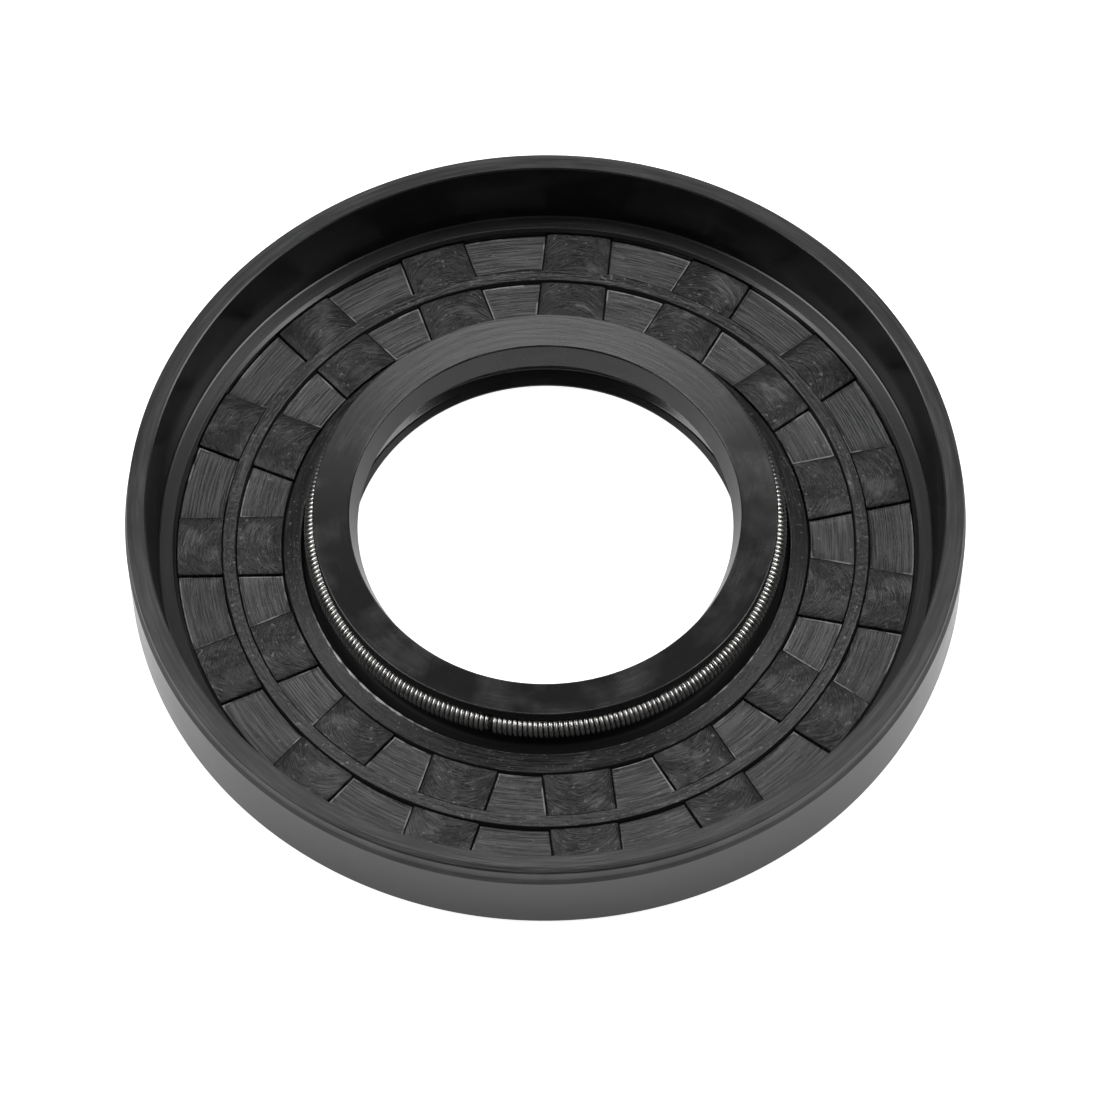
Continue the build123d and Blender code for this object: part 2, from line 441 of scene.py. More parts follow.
def milled_rubber(colours, pads):
    # Rubber from end-milled pockets of the mould: arcs as wide as the cutter, which
    # bow away from the axis, broken and cloudy.
    material = new_material("Nitrile_Rubber_Milled_Mould")
    tree = material.node_tree
    here, (radius, east, north) = ring_coordinates(tree)
    # Which pad this is, and where on it: across its middle line and outward along it, in mm.
    pad_angle = 2 * pi / pads
    angle = add_node(tree, MATH, north, east, operation="ARCTAN2")
    angle = add_node(tree, MATH, angle, pad_angle / 2, operation="SUBTRACT")
    number = add_node(tree, MATH, angle, pad_angle, operation="DIVIDE")
    number = add_node(tree, MATH, number, operation="ROUND")
    middle = add_node(tree, MATH, number, pad_angle, operation="MULTIPLY")
    local = add_node(tree, MATH, angle, middle, operation="SUBTRACT")
    sine = add_node(tree, MATH, local, operation="SINE")
    cosine = add_node(tree, MATH, local, operation="COSINE")
    across = add_node(tree, MATH, radius, sine, operation="MULTIPLY")
    outward = add_node(tree, MATH, radius, cosine, operation="MULTIPLY")
    # Each arc is the front of the round cutter, and the cutter advances along the pad.
    cutter_radius, arcs_per_mm = 3.35, 4.6
    squared = add_node(tree, MATH, across, across, operation="MULTIPLY")
    front = add_node(tree, MATH, cutter_radius**2, squared, operation="SUBTRACT")
    front = add_node(tree, MATH, front, 0.01, operation="MAXIMUM")
    front = add_node(tree, MATH, front, operation="SQRT")
    advance = add_node(tree, MATH, outward, front, operation="SUBTRACT")
    wobble = add_node(tree, NOISE, {"Vector": here, "Scale": 0.42 / MM, "Detail": 2.0})
    advance = add_node(tree, MATH, wobble, 0.9, advance, operation="MULTIPLY_ADD")
    place = add_node(
        tree,
        "ShaderNodeCombineXYZ",
        add_node(tree, MATH, advance, arcs_per_mm, operation="MULTIPLY"),
        add_node(tree, MATH, number, 3.7, operation="MULTIPLY"),
        add_node(tree, MATH, across, 0.3, operation="MULTIPLY"),
    )
    arcs = add_node(tree, NOISE, {"Vector": place, "Scale": 1.0, "Detail": 3.0, "Roughness": 0.65})
    grain = add_node(tree, NOISE, {"Vector": here, "Scale": 1.9 / MM, "Detail": 3.0})
    clouds = add_node(tree, NOISE, {"Vector": here, "Scale": 0.27 / MM, "Detail": 3.0})
    worn = add_node(tree, RANGE, clouds, 0.36, 0.64)
    clear = add_node(tree, MATH, worn, 0.6, 0.4, operation="MULTIPLY_ADD")
    relief = add_node(tree, MATH, grain, 0.45, operation="MULTIPLY")
    relief = add_node(tree, MATH, arcs, 1.3, relief, operation="MULTIPLY_ADD")
    relief = add_node(tree, MATH, relief, clear, operation="MULTIPLY")
    fine = in_patches(tree, scratches(tree, arcs, 0.025), here, 0.38, 0.40, 0.56)
    ridges = add_node(tree, MATH, relief, worn, operation="MULTIPLY")
    # Arcs' ridges painted paler, partly a painted highlight; scratches painted pale, partly as glints, and
    # specks painted pale as painted glints.
    mark = add_node(tree, RANGE, ridges, 0.45, 1.1, 0.0, 0.75)
    scratch_glints = add_node(tree, MATH, fine, 1.1, operation="MULTIPLY")
    glint_specks = add_node(tree, RANGE, grain, 0.64, 0.70)
    for paler in (scratch_glints, glint_specks):
        mark = add_node(tree, MATH, mark, paler, operation="MAXIMUM")
    relief = add_node(tree, MATH, fine, 0.5, relief, operation="MULTIPLY_ADD")
    roughness = add_node(tree, MATH, worn, 0.12, 0.29, operation="MULTIPLY_ADD")
    rubber_shader(tree, colours, mark, roughness, relief, depth=0.13)
    return material


def lip_rubber(colours):
    # The lip's rubber: smooth from a fine-turned mould, with faint long streaks round the axis and smudges
    # where it has been handled; inside the smudges the streaks are painted paler, a painted sheen.
    material = new_material("Nitrile_Rubber_Lip_Smooth")
    tree = material.node_tree
    here, ring = ring_coordinates(tree)
    lines = streaks(tree, ring, length=7.0, pitch=0.4, detail=4.0)
    smudges = add_node(tree, NOISE, {"Vector": here, "Scale": 0.21 / MM, "Detail": 4.0})
    smudged = add_node(tree, RANGE, smudges, 0.45, 0.72)
    # Streaks painted paler inside the smudges: a painted sheen.
    lit = add_node(tree, RANGE, lines, 0.3, 0.75, 0.0, 0.35)
    mark = add_node(tree, MATH, smudged, lit, operation="MULTIPLY")
    roughness = add_node(tree, MATH, smudged, 0.10, 0.22, operation="MULTIPLY_ADD")
    rubber_shader(tree, colours, mark, roughness, lines, depth=0.016)
    return material


def matt_rubber(colours):
    # Rubber in the trough behind the lip: dull, as the mould's release agent left it.
    material = new_material("Nitrile_Rubber_Matt_Trough")
    tree = material.node_tree
    here = add_node(tree, "ShaderNodeTexCoord").outputs["Object"]
    grain = add_node(tree, NOISE, {"Vector": here, "Scale": 2.5 / MM, "Detail": 2.0})
    rubber_shader(tree, colours, 0.0, 0.75, grain, depth=0.01)
    return material


def flash_rubber(colours, torn_colour):
    # Thin flash on the collar's edge: scuffed grey where it is low, and painted pale, a painted highlight,
    # where it stands tall.
    material = new_material("Nitrile_Rubber_Torn_Flash")
    tree = material.node_tree
    here = add_node(tree, "ShaderNodeTexCoord").outputs["Object"]
    grain = add_node(tree, NOISE, {"Vector": here, "Scale": 1.8 / MM, "Detail": 3.0})
    # Pale where the flash stands tall: a painted highlight.
    torn = add_node(tree, "ShaderNodeAttribute", attribute_name="torn").outputs["Fac"]
    torn = add_node(tree, MATH, grain, 0.9, torn, operation="MULTIPLY_ADD")
    pale = add_node(tree, RANGE, torn, 0.5, 1.3)
    rubber_shader(tree, (colours[1], torn_colour), pale, 0.34, grain, depth=0.03)
    return material


def drawn_wire(colour):
    # Spring steel, drawn bright: a clean metal with a soft long highlight on each turn, and
    # duller and clearer stretches about 1 mm long.
    material = new_material("Spring_Steel_Drawn_Wire")
    tree = material.node_tree
    here = add_node(tree, "ShaderNodeTexCoord").outputs["Object"]
    dull = add_node(tree, NOISE, {"Vector": here, "Scale": 0.9 / MM, "Detail": 2.0})
    metal_shader(tree, colour, add_node(tree, RANGE, dull, 0.3, 0.7, 0.25, 0.32))
    return material


def phosphated_steel(colour):
    # Pressed mild steel with a grey zinc-phosphate bond coat: matt, mottled by crystals
    # drawn 0.3 mm wide, which are finer in truth.
    material = new_material("Mild_Steel_Phosphated")
    tree = material.node_tree
    here = add_node(tree, "ShaderNodeTexCoord").outputs["Object"]
    crystals = add_node(tree, NOISE, {"Vector": here, "Scale": 3.5 / MM, "Detail": 3.0})
    metal_shader(tree, colour, add_node(tree, RANGE, crystals, 0.0, 1.0, 0.5, 0.7))
    return material


# ------------------------------------------------------------------- moulding
# Radii and heights here are in mm.
COLLAR_EDGE_R, COLLAR_EDGE_Z = 23.55, 2.70
COLLAR_SLOPE = 0.335  # how far the collar's top falls in each mm outwards
FLOOR_Z = 1.50
INNER_FLATS_Z, OUTER_FLATS_Z = 1.80, 1.75
RIB_TOP = 2.46
LIP_Z = 5.46
SPRING_GROOVE_R, SPRING_GROOVE_Z, SPRING_GROOVE_ROUND = 22.02, 5.46, 1.12

FACE_ANGLE = 15  # degrees of a rounded corner to each of its faces
CORNER_SHARE = 0.45  # of a side is the most that a corner's rounding takes
SLIT_ROUNDING = 0.02  # for the nearly sharp corners deep in the slits
SMOOTH_ANGLE = radians(50)  # a sharper edge than this stays sharp

# The finishes of the moulding's faces.
WALL, RIM, LEDGE, TURNED, COLLAR, LIP, MATT = range(7)

# Corners of the moulding's section: radius, height, rounding, and the finish of the
# face that follows the corner.
SECTION = [
    # back face, lead-in chamfer and sealing wall
    (22.80, 0.00, 0.15, RIM),
    (39.50, 0.00, 0.20, RIM),
    (40.00, 0.80, 0.30, WALL),
    (40.00, 8.20, 0.12, RIM),
    # neck and crown of the rim
    (39.74, 8.68, 0.25, RIM),
    (39.76, 9.85, 0.20, RIM),
    (39.13, 10.00, 0.40, RIM),
    (38.08, 10.00, 0.05, LEDGE),
    (37.92, 9.92, 0.05, LEDGE),
    # inner wall of the rim, and the ledge round the floor
    (37.18, 2.89, 0.05, LEDGE),
    (37.02, 2.79, 0.05, LEDGE),
    (35.84, 2.70, 0.08, LEDGE),
    (35.50, 2.45, 0.08, LEDGE),
    # floor under the pads and flats, with the rib between them; slits part them
    (35.45, 1.33, SLIT_ROUNDING, MATT),
    (35.42, FLOOR_Z, SLIT_ROUNDING, MATT),
    (31.13, FLOOR_Z, SLIT_ROUNDING, MATT),
    (31.04, RIB_TOP, 0.10, TURNED),
    (29.83, RIB_TOP, 0.10, MATT),
    (29.74, FLOOR_Z, SLIT_ROUNDING, MATT),
    (25.44, FLOOR_Z, SLIT_ROUNDING, MATT),
    (25.30, 1.33, SLIT_ROUNDING, MATT),
    # collar and trough
    (25.19, 2.15, 0.10, COLLAR),
    (COLLAR_EDGE_R, COLLAR_EDGE_Z, 0.08, MATT),
    (23.35, 1.15, 0.30, MATT),
    (21.70, 1.15, 0.40, MATT),
    # stem, the groove that the spring lies in, and the head's outer side
    *(
        (
            SPRING_GROOVE_R + SPRING_GROOVE_ROUND * cos(radians(angle)),
            SPRING_GROOVE_Z + SPRING_GROOVE_ROUND * sin(radians(angle)),
            0.50,
            MATT,
        )
        for angle in range(248, 120, -14)
    ),
    (22.20, 6.95, 0.10, MATT),
    (22.20, 8.10, 0.12, LIP),
    # face of the lip's head, sealing lip
    (18.70, 7.75, 0.22, LIP),
    (17.95, LIP_Z, 0.04, LIP),
    (17.99, 5.38, 0.04, LIP),
    # air side: the root between the lips, dust lip, groove behind it
    (20.08, 1.55, 0.20, WALL),
    (19.25, 1.10, 0.50, WALL),
    (18.85, 0.45, 0.05, LIP),
    (18.85, 0.20, 0.05, RIM),
    (21.40, 0.85, 0.40, RIM),
]


def rounded_section(corners):
    """Points, unit normals and finishes along a closed section, with its corners rounded."""
    points, normals, finishes = [], [], []
    count = len(corners)
    for i, (r, z, rounding, finish) in enumerate(corners):
        r0, z0, _, finish_before = corners[i - 1]
        r1, z1 = corners[(i + 1) % count][:2]
        before, after = hypot(r - r0, z - z0), hypot(r1 - r, z1 - z)
        d0 = ((r - r0) / before, (z - z0) / before)
        d1 = ((r1 - r) / after, (z1 - z) / after)
        side = 1 if d0[0] * d1[1] > d0[1] * d1[0] else -1
        angle = abs(Vector(d0).angle(Vector(d1)))
        reach = min(rounding * tan(angle / 2), CORNER_SHARE * before, CORNER_SHARE * after)
        radius = reach / tan(angle / 2)
        n0 = Vector((d0[1], -d0[0]))
        n1 = Vector((d1[1], -d1[0]))
        centre = Vector((r - d0[0] * reach, z - d0[1] * reach)) - n0 * radius * side
        steps = max(2, round(degrees(angle) / FACE_ANGLE)) if rounding > SLIT_ROUNDING else 2
        for k in range(steps + 1):
            n = n0.slerp(n1, k / steps)
            points.append(centre + n * radius * side)
            normals.append(n)
            finishes.append(finish_before if k < steps / 2 else finish)
    return points, normals, finishes


def build_moulding(settings, materials):
    points, normals, finishes = rounded_section(SECTION)
    steps, count = settings.turned_steps, len(points)
    vertices, vertex_normals = [], []
    for j in range(steps):
        a = 2 * pi * j / steps
        for (r, z), n in zip(points, normals):
            vertices.append((r * cos(a) * MM, r * sin(a) * MM, z * MM))
            vertex_normals.append((n[0] * cos(a), n[0] * sin(a), n[1]))
    faces, indices = [], []
    for j in range(steps):
        here, there = j * count, (j + 1) % steps * count
        for i in range(count):
            k = (i + 1) % count
            faces.append((here + i, there + i, there + k, here + k))
            indices.append(finishes[i])
    mesh = bpy.data.meshes.new("rubber_moulding")
    mesh.from_pydata(vertices, [], faces)
    for material in materials:
        mesh.materials.append(material)
    mesh.polygons.foreach_set("material_index", indices)
    mesh.polygons.foreach_set("use_smooth", [True] * len(faces))
    mesh.normals_split_custom_set_from_vertices(vertex_normals)
    mesh.validate()
    return new_object("rubber_moulding", mesh)


def build_flash(material):
    """Torn flash left along the collar's inner edge, tallest on the near left and near right."""
    steps = 1080
    left_at, left_reach, right_at, right_reach = 222, 24, 318, 16  # degrees round the axis
    bm = bmesh.new()
    # Where the flash stands tallest it is painted pale: a painted highlight along its edge.
    torn = bm.verts.layers.float.new("torn")
    rings = []
    for j in range(steps):
        a = 2 * pi * j / steps
        out = Vector((cos(a), sin(a), 0))
        ragged = noise.noise(Vector((a * 30, 0, 0))) + 0.6 * noise.noise(Vector((a * 95, 4, 0)))
        left = abs(degrees(a) - left_at) / left_reach
        right = abs(degrees(a) - right_at) / right_reach
        tall = max(0.0, 1 - left * left) + 0.45 * max(0.0, 1 - right * right)
        tall *= max(0.3, 0.7 + 1.3 * noise.noise(Vector((a * 23, 9, 0))))
        width = max(0.03, 0.05 + 0.14 * tall + 0.07 * ragged)
        height = max(0.02, 0.03 + 0.14 * tall + 0.05 * ragged)
        r, z = COLLAR_EDGE_R + 0.01, COLLAR_EDGE_Z
        ring = [
            (r + width, z - (0.01 + width) * COLLAR_SLOPE - 0.02),
            (r + 0.45 * width, z + 0.62 * height),
            (r + 0.01, z + height),
            (r - 0.015, z + height - 0.02),
            (r - 0.06, z - 0.30),
        ]
        rings.append([bm.verts.new((out * r + Vector((0, 0, z))) * MM) for r, z in ring])
        for vertex in rings[-1]:
            vertex[torn] = tall
    for j in range(steps):
        here, there = rings[j], rings[(j + 1) % steps]
        for i in range(len(here)):
            k = (i + 1) % len(here)
            bm.faces.new((here[i], here[k], there[k], there[i])).smooth = True
    bmesh.ops.recalc_face_normals(bm, faces=bm.faces)
    mesh = bpy.data.meshes.new("collar_flash")
    bm.to_mesh(mesh)
    bm.free()
    mesh.set_sharp_from_angle(angle=SMOOTH_ANGLE)
    mesh.materials.append(material)
    return new_object("collar_flash", mesh)


# ----------------------------------------------------- pads and flats of the floor
# Inner and outer radius of each ring of pads and of flats.
INNER_PADS_R, OUTER_PADS_R = (25.42, 29.67), (31.17, 35.38)
INNER_FLATS_R, OUTER_FLATS_R = (25.43, 29.70), (31.17, 35.42)
FOOT_Z = FLOOR_Z - 0.08  # pads and flats are sunk a little into the floor under them

# The burr on a flat's edges: distance from the edge in mm, then its height and its
# raggedness there, as shares of the most.
BURR = (
    (0.00, -0.05, 0.0),
    (0.03, 0.60, 0.7),
    (0.08, 1.00, 1.0),
    (0.16, 0.72, 0.8),
    (0.26, 0.30, 0.4),
    (0.40, 0.00, 0.0),
)
INNER_BURR = 1.7  # the burr towards the axis is this much taller than the others
EDGE_DROP = 0.03  # mm from a flat's top down to its very edge


def add_pad(bm, inner_r, outer_r, top, settings):
    """A pad on the +X side, with parallel sides, and ends that follow the ring."""
    half, steps = settings.pad_width / MM / 2, 14
    # Heights, with half the width there: foot, the edge that is rounded, and the crowned top.
    outline = ((FOOT_Z, half), (top - 0.09, half - 0.03), (top, half - 0.38))
    weights = bm.edges.layers.float.get("bevel_weight_edge") or bm.edges.layers.float.new("bevel_weight_edge")
    loops = []
    for z, width in outline:
        loop = []
        for radius, order in ((outer_r, 1), (inner_r, -1)):
            for k in range(steps + 1):
                y = order * width * (2 * k / steps - 1)
                loop.append(bm.verts.new((sqrt(radius * radius - y * y), y, z)))
        loops.append(loop)
    bm.faces.new(loops[-1])
    bm.faces.new(reversed(loops[0]))
    for lower, upper in zip(loops, loops[1:]):
        for i in range(len(lower)):
            k = (i + 1) % len(lower)
            bm.faces.new((lower[i], lower[k], upper[k], upper[i]))
    for i in (steps, 2 * steps + 1):
        bm.edges.get((loops[1][i], loops[1][(i + 1) % len(loops[1])]))[weights] = 1.0


def burr_at(distance):
    """Height and raggedness of the burr at a distance from the edge."""
    for (d0, h0, g0), (d1, h1, g1) in zip(BURR, BURR[1:]):
        if distance <= d1:
            t = (distance - d0) / (d1 - d0)
            return h0 + (h1 - h0) * t, g0 + (g1 - g0) * t
    return 0.0, 0.0


def places_over(width):
    """Places from 0 to width, close together over the burr at both ends."""
    burr = [distance for distance, _, _ in BURR]
    between = 9
    middle = [burr[-1] + (width - 2 * burr[-1]) * k / between for k in range(1, between)]
    return burr + middle + [width - distance for distance in reversed(burr)]


def add_flat(bm, inner_r, outer_r, top, settings):
    """A flat on the +X side, between two pads, with a burr round its edges."""
    ragged = bm.verts.layers.float.get("ragged") or bm.verts.layers.float.new("ragged")
    away = settings.pad_width / MM / 2 + settings.slit / MM
    burr = settings.burr / MM
    depth = outer_r - inner_r
    grid = []
    for along in places_over(depth):
        r = inner_r + along
        beside_pad = Vector((sqrt(r * r - away * away), away)).angle(Vector((1, 0)))
        span = r * (pi / settings.pads - beside_pad)
        line = []
        for side in places_over(2 * span):
            near = min(side, 2 * span - side, depth - along)
            outer_rise, outer_ragged = burr_at(near)
            inner_rise, inner_ragged = burr_at(along)
            rise = max(0.0, outer_rise, INNER_BURR * inner_rise) * burr
            on_edge = min(near, along) < 1e-9
            a = (side - span) / r
            vertex = bm.verts.new((r * cos(a), r * sin(a), top - EDGE_DROP if on_edge else top + rise))
            vertex[ragged] = max(outer_ragged, inner_ragged)
            line.append(vertex)
        grid.append(line)
    for lower, upper in zip(grid, grid[1:]):
        for i in range(len(lower) - 1):
            bm.faces.new((lower[i], upper[i], upper[i + 1], lower[i + 1]))
    border = grid[0][:-1] + [line[-1] for line in grid[:-1]]
    border += grid[-1][:0:-1] + [line[0] for line in grid[:0:-1]]
    feet = [bm.verts.new((v.co.x, v.co.y, FOOT_Z)) for v in border]
    for i in range(len(border)):
        k = (i + 1) % len(border)
        bm.faces.new((border[i], border[k], feet[k], feet[i]))
    bm.faces.new(feet)


def new_tree(name, **sockets):
    """A Geometry Nodes tree and what it is given: inputs of these kinds, named as the keywords."""
    tree = bpy.data.node_groups.new(name, "GeometryNodeTree")
    tree.is_modifier = True
    for key, kind in sockets.items():
        socket = key.replace("_", " ").capitalize()
        tree.interface.new_socket(socket, in_out="INPUT", socket_type="NodeSocket" + kind)
    tree.interface.new_socket("Geometry", in_out="OUTPUT", socket_type="NodeSocketGeometry")
    return tree, add_node(tree, "NodeGroupInput").outputs


def ring_tree(name):
    """Geometry Nodes that repeat a shape evenly round the Z axis and make its marked points ragged."""
    tree, given = new_tree(
        name,
        geometry="Geometry",
        count="Int",
        first_angle="Float",
        raggedness="Float",
        material="Material",
    )
    index = add_node(tree, "GeometryNodeInputIndex")
    share = add_node(tree, MATH, index, given["Count"], operation="DIVIDE")
    angle = add_node(tree, MATH, share, 2 * pi, given["First angle"], operation="MULTIPLY_ADD")
    turn = add_node(tree, "ShaderNodeCombineXYZ", {2: angle})
    places = add_node(tree, "GeometryNodePoints", {"Count": given["Count"]})
    turned = add_node(
        tree,
        "GeometryNodeInstanceOnPoints",
        {"Points": places, "Instance": given["Geometry"], "Rotation": turn},
    )
    real = add_node(tree, "GeometryNodeRealizeInstances", turned)
    # The marked points rise and sink by a noise whose cells are 0.7 mm wide.
    marked = add_node(tree, "GeometryNodeInputNamedAttribute", {"Name": "ragged"}, data_type="FLOAT")
    here = add_node(tree, "GeometryNodeInputPosition")
    uneven = add_node(tree, NOISE, {"Vector": here, "Scale": 1.4 / MM, "Detail": 2.0})
    lift = add_node(tree, MATH, uneven, 0.45, operation="SUBTRACT")
    lift = add_node(tree, MATH, lift, given["Raggedness"], operation="MULTIPLY")
    lift = add_node(tree, MATH, lift, marked, operation="MULTIPLY")
    offset = add_node(tree, "ShaderNodeCombineXYZ", {2: lift})
    torn = add_node(tree, "GeometryNodeSetPosition", {"Geometry": real, "Offset": offset})
    dressed = add_node(
        tree, "GeometryNodeSetMaterial", {"Geometry": torn, "Material": given["Material"]}
    )
    add_node(tree, "NodeGroupOutput", dressed)
    return tree


def set_inputs(modifier, **values):
    """Sets the named inputs of a Geometry Nodes modifier by their sockets' identifiers."""
    for item in modifier.node_group.interface.items_tree:
        key = item.name.lower().replace(" ", "_")
        if item.in_out == "INPUT" and key in values:
            modifier[item.identifier] = values[key]


def ring_of(bm, name, settings, first_angle, material, ragged=0.0, edges=0.0):
    """A mesh object of bm, a shape in mm, repeated round the axis.

    ragged is how far its marked points stray, and edges the rounding of its marked edges.
    """
    bmesh.ops.scale(bm, vec=(MM, MM, MM), verts=bm.verts)
    bmesh.ops.recalc_face_normals(bm, faces=bm.faces)
    mesh = bpy.data.meshes.new(name)
    bm.to_mesh(mesh)
    bm.free()
    mesh.polygons.foreach_set("use_smooth", [True] * len(mesh.polygons))
    mesh.set_sharp_from_angle(angle=SMOOTH_ANGLE)
    obj = new_object(name, mesh)
    if edges:
        bevel = obj.modifiers.new("Rounded edges", "BEVEL")
        bevel.width, bevel.segments, bevel.limit_method, bevel.harden_normals = edges, 4, "WEIGHT", True
    ring = obj.modifiers.new("Ring", "NODES")
    ring.node_group = ring_tree("Ring of " + name)
    set_inputs(ring, count=settings.pads, first_angle=first_angle, raggedness=ragged, material=material)
    return plain_mesh(obj, name)


def build_pads(settings, material):
    bm = bmesh.new()
    top = settings.pad_top / MM
    add_pad(bm, *INNER_PADS_R, top, settings)
    add_pad(bm, *OUTER_PADS_R, top, settings)
    return ring_of(bm, "floor_pads", settings, pi / settings.pads, material, edges=settings.pad_edge)


def build_flats(settings, material):
    bm = bmesh.new()
    add_flat(bm, *INNER_FLATS_R, INNER_FLATS_Z, settings)
    add_flat(bm, *OUTER_FLATS_R, OUTER_FLATS_Z, settings)
    return ring_of(bm, "floor_flats", settings, 0.0, material, ragged=settings.burr)


# -------------------------------------------------------------- garter spring
def coil_tree():
    """Geometry Nodes for a wire wound round a ring. Its last turn narrows, to screw into the first."""
    tree, given = new_tree(
        "Garter spring",
        turns="Int",
        points_per_turn="Int",
        sides_of_wire="Int",
        ring_radius="Float",
        coil_radius="Float",
        wire_radius="Float",
        height="Float",
        joint_angle="Float",
        joint_gap="Float",
        narrow_end="Float",
        material="Material",
    )
    # Points along the wire, and how far each has come round the ring and round the coil.
    last = add_node(tree, MATH, given["Turns"], given["Points per turn"], operation="MULTIPLY")
    count = add_node(tree, MATH, last, 1.0, operation="ADD")
    line = add_node(tree, "GeometryNodeMeshLine", {"Count": count})
    index = add_node(tree, "GeometryNodeInputIndex")
    share = add_node(tree, MATH, index, last, operation="DIVIDE")
    sweep = add_node(tree, MATH, 2 * pi, given["Joint gap"], operation="SUBTRACT")
    swept = add_node(tree, MATH, share, sweep, operation="MULTIPLY")
    start = add_node(
        tree, MATH, given["Joint gap"], 0.5, given["Joint angle"], operation="MULTIPLY_ADD"
    )
    round_ring = add_node(tree, MATH, swept, start, operation="ADD")
    turn = add_node(tree, MATH, share, given["Turns"], operation="MULTIPLY")
    round_coil = add_node(tree, MATH, turn, 2 * pi, pi, operation="MULTIPLY_ADD")
    # The coil's radius, which shrinks over the last turn.
    to_end = add_node(tree, MATH, given["Turns"], turn, operation="SUBTRACT")
    narrowed = add_node(tree, MATH, 1.0, to_end, operation="SUBTRACT")
    narrowed = add_node(tree, MATH, narrowed, 0.0, operation="MAXIMUM")
    narrowed = add_node(tree, MATH, narrowed, given["Narrow end"], operation="MULTIPLY")
    full = add_node(tree, MATH, given["Coil radius"], given["Wire radius"], operation="SUBTRACT")
    coil = add_node(tree, MATH, full, narrowed, operation="SUBTRACT")
    # Where each point lies. The wire starts on the ring's inner side, where its end is hidden.
    outward = add_node(tree, MATH, round_coil, operation="COSINE")
    radius = add_node(tree, MATH, coil, outward, given["Ring radius"], operation="MULTIPLY_ADD")
    down = add_node(tree, MATH, round_coil, operation="SINE")
    down = add_node(tree, MATH, coil, down, operation="MULTIPLY")
    height = add_node(tree, MATH, given["Height"], down, operation="SUBTRACT")
    east = add_node(tree, MATH, round_ring, operation="COSINE")
    north = add_node(tree, MATH, round_ring, operation="SINE")
    place = add_node(
        tree,
        "ShaderNodeCombineXYZ",
        add_node(tree, MATH, radius, east, operation="MULTIPLY"),
        add_node(tree, MATH, radius, north, operation="MULTIPLY"),
        height,
    )
    wound = add_node(tree, "GeometryNodeSetPosition", {"Geometry": line, "Position": place})
    path = add_node(tree, "GeometryNodeMeshToCurve", wound)
    wire = add_node(
        tree,
        "GeometryNodeCurvePrimitiveCircle",
        {"Resolution": given["Sides of wire"], "Radius": given["Wire radius"]},
    )
    solid = add_node(
        tree, "GeometryNodeCurveToMesh", {"Curve": path, "Profile Curve": wire, "Fill Caps": True}
    )
    smooth = add_node(tree, "GeometryNodeSetShadeSmooth", solid)
    real = add_node(tree, "GeometryNodeRealizeInstances", smooth)
    dressed = add_node(
        tree, "GeometryNodeSetMaterial", {"Geometry": real, "Material": given["Material"]}
    )
    add_node(tree, "NodeGroupOutput", dressed)
    return tree


def build_spring(settings, material):
    obj = new_object("garter_coil", bpy.data.meshes.new("garter_coil"))
    coil = obj.modifiers.new("Coil", "NODES")
    coil.node_group = coil_tree()
    set_inputs(
        coil,
        turns=settings.turns,
        points_per_turn=24,
        sides_of_wire=12,
        ring_radius=settings.ring_radius,
        coil_radius=settings.coil_radius,
        wire_radius=settings.wire_radius,
        height=settings.height,
        joint_angle=settings.joint_angle,
        joint_gap=radians(0.8),
        narrow_end=0.0003,
        material=material,
    )
    return plain_mesh(obj, "garter_coil")


# ---------------------------------------------------------------------- stage
def table_white(colour):
    # White acrylic table top, matt. It looks white to the eye, and a little greyer in reflections.
    material = new_material("Acrylic_Table_White")
    tree = material.node_tree
    ray = add_node(tree, "ShaderNodeLightPath").outputs
    mirrored = add_node(
        tree, MATH, ray["Is Glossy Ray"], ray["Is Transmission Ray"], operation="MAXIMUM"
    )
    glow = add_node(tree, MATH, mirrored, 0.3, operation="MULTIPLY")
    glow = add_node(tree, MATH, ray["Is Camera Ray"], 0.9, glow, operation="MULTIPLY_ADD")
    white = (1, 1, 1, 1)
    shader = add_node(
        tree,
        "ShaderNodeBsdfPrincipled",
        {"Base Color": colour, "Roughness": 0.7, "Emission Color": white, "Emission Strength": glow},
    )
    add_node(tree, "ShaderNodeOutputMaterial", {"Surface": shader})
    return material


def build_table(colour):
    """A round white table whose edge turns up into a low pale wall."""
    flat_r, turn_up, wall_top = 1.6, 0.2, 0.3  # metres
    steps, turn_steps = 96, 8
    profile = [(flat_r, 0.0)]
    for k in range(1, turn_steps + 1):
        a = pi / 2 * k / turn_steps
        profile.append((flat_r + turn_up * sin(a), turn_up * (1 - cos(a))))
    profile.append((flat_r + turn_up, wall_top))
    bm = bmesh.new()
    rings = []
    for r, z in profile:
        angles = [2 * pi * j / steps for j in range(steps)]
        rings.append([bm.verts.new((r * cos(a), r * sin(a), z)) for a in angles])
    bm.faces.new(rings[0])
    for lower, upper in zip(rings, rings[1:]):
        for j in range(steps):
            k = (j + 1) % steps
            bm.faces.new((lower[j], lower[k], upper[k], upper[j]))
    bmesh.ops.recalc_face_normals(bm, faces=bm.faces)
    mesh = bpy.data.meshes.new("table")
    bm.to_mesh(mesh)
    bm.free()
    if mesh.polygons[0].normal.z < 0:
        mesh.flip_normals()
    mesh.polygons.foreach_set("use_smooth", [True] * len(mesh.polygons))
    mesh.materials.append(table_white(colour))
    return new_object("table", mesh)


